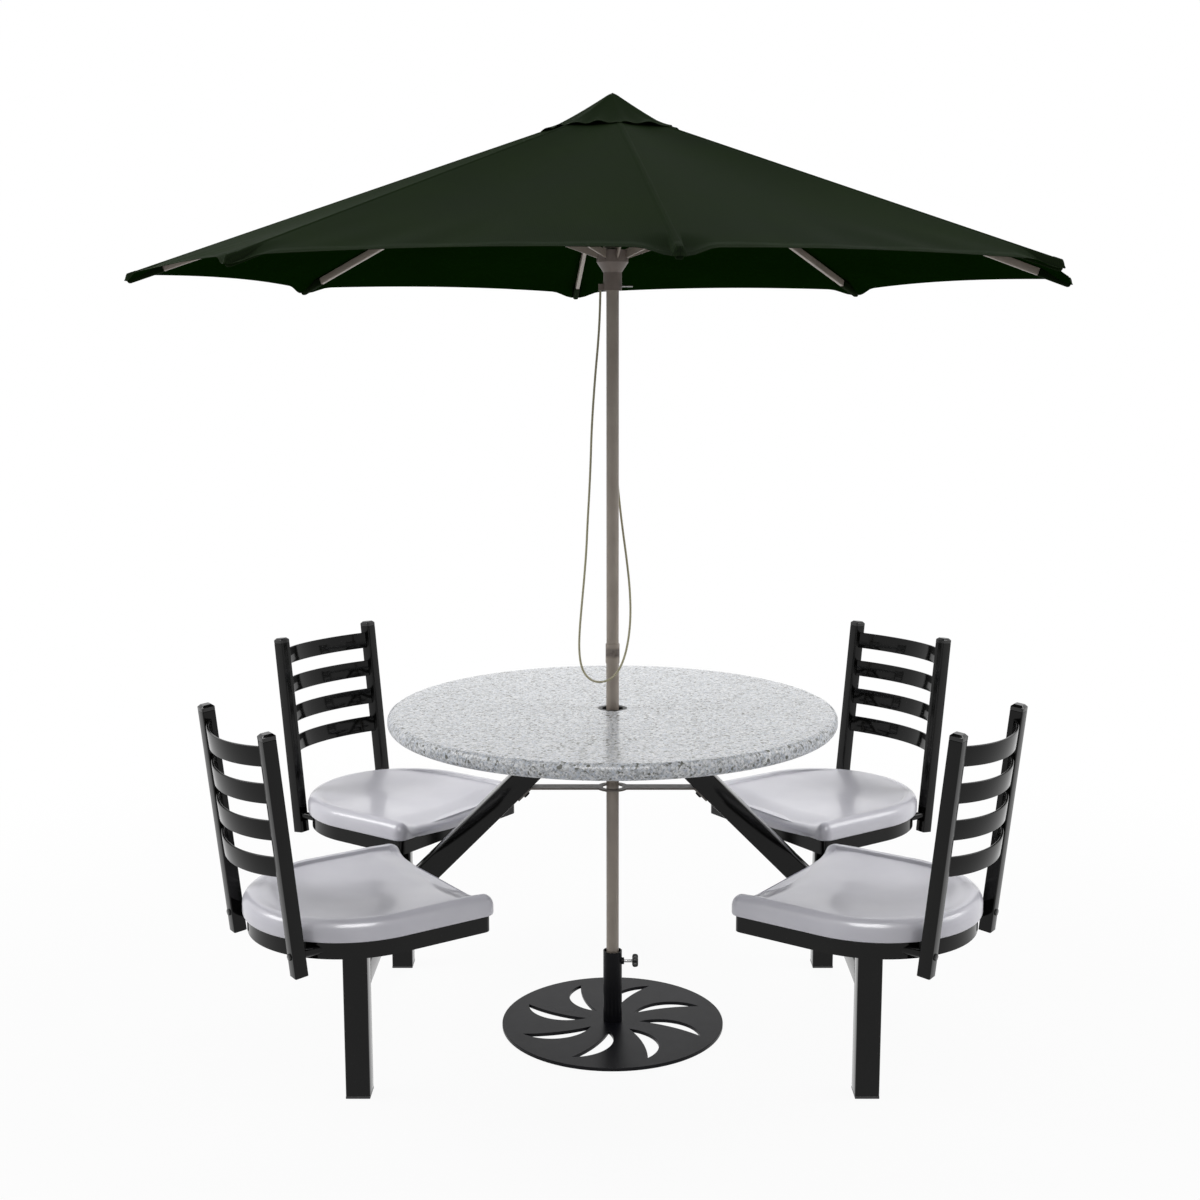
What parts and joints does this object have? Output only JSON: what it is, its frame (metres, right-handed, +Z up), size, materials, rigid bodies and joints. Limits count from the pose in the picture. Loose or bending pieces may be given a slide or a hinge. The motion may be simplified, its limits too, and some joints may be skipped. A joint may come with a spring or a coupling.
{
  "type": "table with attached swivel seats",
  "caption": "Round speckled-top table on a square-tube frame with attached ladder-back swivel seats, and a folding umbrella on its own stand through the top.",
  "frame": {"origin": "centre of the table on the floor", "axes": "+Z up, X along the two sloping arms, Y along the crossbars; the picture looks along +Y"},
  "size_m": [2.0852, 2.0852, 2.1215],
  "materials": {
    "speckled_top": "polished moulded composite with fine grey speckle",
    "black_paint": "gloss black powder coat",
    "black_caps": "gloss moulded caps",
    "black_plastic": "moulded, satin",
    "grey_seat": "glossy moulded composite",
    "stand_paint": "satin black powder coat",
    "grey_paint": "satin dark grey",
    "steel": "zinc plated",
    "chrome": "polished",
    "taupe_tube": "taupe powder coat",
    "taupe_plastic": "moulded taupe nylon",
    "green_canvas": "woven canvas, dark green",
    "rope": "braided cord"
  },
  "bodies": {
    "table_frame": {"table_top": "speckled_top", "hole_liner": "black_plastic", "seat_posts": "black_paint", "foot_plugs": "black_plastic", "crossbars": "black_paint", "table_arms": "black_paint", "arm_plates": "black_paint", "table_screws": "steel", "guide_bar": "grey_paint", "guide_bolts": "black_paint", "swivel_bases": "black_paint", "base_plate": "stand_paint", "base_tube": "stand_paint"},
    "seat_front_left": {"seat_shell_front_left": "grey_seat", "seat_frame_front_left": "black_paint", "back_uprights_front_left": "black_paint", "back_slats_front_left": "black_paint", "back_fittings_front_left": "black_caps"},
    "seat_front_right": {"seat_shell_front_right": "grey_seat", "seat_frame_front_right": "black_paint", "back_uprights_front_right": "black_paint", "back_slats_front_right": "black_paint", "back_fittings_front_right": "black_caps"},
    "seat_back_left": {"seat_shell_back_left": "grey_seat", "seat_frame_back_left": "black_paint", "back_uprights_back_left": "black_paint", "back_slats_back_left": "black_paint", "back_fittings_back_left": "black_caps"},
    "seat_back_right": {"seat_shell_back_right": "grey_seat", "seat_frame_back_right": "black_paint", "back_uprights_back_right": "black_paint", "back_slats_back_right": "black_paint", "back_fittings_back_right": "black_caps"},
    "pole_foot": {"lower_pole": "taupe_tube"},
    "mast": {"upper_pole": "taupe_tube", "crown_hub": "taupe_plastic", "canopy": "green_canvas", "vent_cap": "green_canvas", "pull_rope": "rope"},
    "slider": {"runner": "taupe_plastic"},
    "pin": {"lock_pin": "steel"},
    "screw": {"clamp_screw": "chrome"},
    "knob": {"clamp_knob": "black_plastic"},
    "rib_1": {"rib_1": "taupe_tube"},
    "stretcher_1": {"stretcher_1": "taupe_tube"},
    "rib_2": {"rib_2": "taupe_tube"},
    "stretcher_2": {"stretcher_2": "taupe_tube"},
    "rib_3": {"rib_3": "taupe_tube"},
    "stretcher_3": {"stretcher_3": "taupe_tube"},
    "rib_4": {"rib_4": "taupe_tube"},
    "stretcher_4": {"stretcher_4": "taupe_tube"},
    "rib_5": {"rib_5": "taupe_tube"},
    "stretcher_5": {"stretcher_5": "taupe_tube"},
    "rib_6": {"rib_6": "taupe_tube"},
    "stretcher_6": {"stretcher_6": "taupe_tube"},
    "rib_7": {"rib_7": "taupe_tube"},
    "stretcher_7": {"stretcher_7": "taupe_tube"},
    "rib_8": {"rib_8": "taupe_tube"},
    "stretcher_8": {"stretcher_8": "taupe_tube"}
  },
  "joints": [
    {"name": "swivel_front_left", "type": "hinge", "parent": "table_frame", "child": "seat_front_left", "pos_m": [-0.541, -0.365, 0.373], "axis": [0, 0, 1], "range_deg": [-90, 90]},
    {"name": "swivel_front_right", "type": "hinge", "parent": "table_frame", "child": "seat_front_right", "pos_m": [0.541, -0.365, 0.373], "axis": [0, 0, 1], "range_deg": [-90, 90]},
    {"name": "swivel_back_left", "type": "hinge", "parent": "table_frame", "child": "seat_back_left", "pos_m": [-0.541, 0.365, 0.373], "axis": [0, 0, 1], "range_deg": [-90, 90]},
    {"name": "swivel_back_right", "type": "hinge", "parent": "table_frame", "child": "seat_back_right", "pos_m": [0.541, 0.365, 0.373], "axis": [0, 0, 1], "range_deg": [-90, 90]},
    {"name": "pole_lift", "type": "slide", "parent": "table_frame", "child": "pole_foot", "axis": [0, 0, 1], "range_m": [0, 0.16]},
    {"name": "umbrella_turn", "type": "hinge", "parent": "pole_foot", "child": "mast", "pos_m": [0, 0, 0.89], "axis": [0, 0, 1], "continuous": true},
    {"name": "runner_slide", "type": "slide", "parent": "mast", "child": "slider", "axis": [0, 0, -1], "range_m": [0, 0.60356], "deforming": ["canopy", "vent_cap", "pull_rope"]},
    {"name": "rib_1_hinge", "type": "hinge", "parent": "mast", "child": "rib_1", "pos_m": [0.02786, 0.00283, 2.07], "axis": [-0.1011, 0.9949, 0], "range_deg": [0, 66]},
    {"name": "stretcher_1_hinge", "type": "hinge", "parent": "slider", "child": "stretcher_1", "pos_m": [0.02786, 0.00283, 1.77699], "axis": [-0.1011, 0.9949, 0], "range_deg": [-66, 0]},
    {"name": "rib_2_hinge", "type": "hinge", "parent": "mast", "child": "rib_2", "pos_m": [0.0177, 0.0217, 2.07], "axis": [-0.7749, 0.632, 0], "range_deg": [0, 66]},
    {"name": "stretcher_2_hinge", "type": "hinge", "parent": "slider", "child": "stretcher_2", "pos_m": [0.0177, 0.0217, 1.77699], "axis": [-0.7749, 0.632, 0], "range_deg": [-66, 0]},
    {"name": "rib_3_hinge", "type": "hinge", "parent": "mast", "child": "rib_3", "pos_m": [-0.00283, 0.02786, 2.07], "axis": [-0.9949, -0.1011, 0], "range_deg": [0, 66]},
    {"name": "stretcher_3_hinge", "type": "hinge", "parent": "slider", "child": "stretcher_3", "pos_m": [-0.00283, 0.02786, 1.77699], "axis": [-0.9949, -0.1011, 0], "range_deg": [-66, 0]},
    {"name": "rib_4_hinge", "type": "hinge", "parent": "mast", "child": "rib_4", "pos_m": [-0.0217, 0.0177, 2.07], "axis": [-0.632, -0.7749, 0], "range_deg": [0, 66]},
    {"name": "stretcher_4_hinge", "type": "hinge", "parent": "slider", "child": "stretcher_4", "pos_m": [-0.0217, 0.0177, 1.77699], "axis": [-0.632, -0.7749, 0], "range_deg": [-66, 0]},
    {"name": "rib_5_hinge", "type": "hinge", "parent": "mast", "child": "rib_5", "pos_m": [-0.02786, -0.00283, 2.07], "axis": [0.1011, -0.9949, 0], "range_deg": [0, 66]},
    {"name": "stretcher_5_hinge", "type": "hinge", "parent": "slider", "child": "stretcher_5", "pos_m": [-0.02786, -0.00283, 1.77699], "axis": [0.1011, -0.9949, 0], "range_deg": [-66, 0]},
    {"name": "rib_6_hinge", "type": "hinge", "parent": "mast", "child": "rib_6", "pos_m": [-0.0177, -0.0217, 2.07], "axis": [0.7749, -0.632, 0], "range_deg": [0, 66]},
    {"name": "stretcher_6_hinge", "type": "hinge", "parent": "slider", "child": "stretcher_6", "pos_m": [-0.0177, -0.0217, 1.77699], "axis": [0.7749, -0.632, 0], "range_deg": [-66, 0]},
    {"name": "rib_7_hinge", "type": "hinge", "parent": "mast", "child": "rib_7", "pos_m": [0.00283, -0.02786, 2.07], "axis": [0.9949, 0.1011, 0], "range_deg": [0, 66]},
    {"name": "stretcher_7_hinge", "type": "hinge", "parent": "slider", "child": "stretcher_7", "pos_m": [0.00283, -0.02786, 1.77699], "axis": [0.9949, 0.1011, 0], "range_deg": [-66, 0]},
    {"name": "rib_8_hinge", "type": "hinge", "parent": "mast", "child": "rib_8", "pos_m": [0.0217, -0.0177, 2.07], "axis": [0.632, 0.7749, 0], "range_deg": [0, 66]},
    {"name": "stretcher_8_hinge", "type": "hinge", "parent": "slider", "child": "stretcher_8", "pos_m": [0.0217, -0.0177, 1.77699], "axis": [0.632, 0.7749, 0], "range_deg": [-66, 0]},
    {"name": "lock_pin_pull", "type": "slide", "parent": "slider", "child": "pin", "axis": [1, 0, 0], "range_m": [0, 0.012]},
    {"name": "screw_travel", "type": "slide", "parent": "table_frame", "child": "screw", "axis": [1, 0, 0], "range_m": [0, 0.0032]},
    {"name": "knob_turn", "type": "hinge", "parent": "screw", "child": "knob", "pos_m": [0.06, 0, 0.154], "axis": [1, 0, 0], "range_deg": [0, 900]}
  ],
  "couplings": [
    {"joint": "rib_1_hinge", "follows": "runner_slide", "rad_per_m": 1.9085},
    {"joint": "stretcher_1_hinge", "follows": "runner_slide", "rad_per_m": -1.9085},
    {"joint": "rib_2_hinge", "follows": "runner_slide", "rad_per_m": 1.9085},
    {"joint": "stretcher_2_hinge", "follows": "runner_slide", "rad_per_m": -1.9085},
    {"joint": "rib_3_hinge", "follows": "runner_slide", "rad_per_m": 1.9085},
    {"joint": "stretcher_3_hinge", "follows": "runner_slide", "rad_per_m": -1.9085},
    {"joint": "rib_4_hinge", "follows": "runner_slide", "rad_per_m": 1.9085},
    {"joint": "stretcher_4_hinge", "follows": "runner_slide", "rad_per_m": -1.9085},
    {"joint": "rib_5_hinge", "follows": "runner_slide", "rad_per_m": 1.9085},
    {"joint": "stretcher_5_hinge", "follows": "runner_slide", "rad_per_m": -1.9085},
    {"joint": "rib_6_hinge", "follows": "runner_slide", "rad_per_m": 1.9085},
    {"joint": "stretcher_6_hinge", "follows": "runner_slide", "rad_per_m": -1.9085},
    {"joint": "rib_7_hinge", "follows": "runner_slide", "rad_per_m": 1.9085},
    {"joint": "stretcher_7_hinge", "follows": "runner_slide", "rad_per_m": -1.9085},
    {"joint": "rib_8_hinge", "follows": "runner_slide", "rad_per_m": 1.9085},
    {"joint": "stretcher_8_hinge", "follows": "runner_slide", "rad_per_m": -1.9085},
    {"joint": "screw_travel", "follows": "knob_turn", "m_per_rad": 0.00019894}
  ]
}
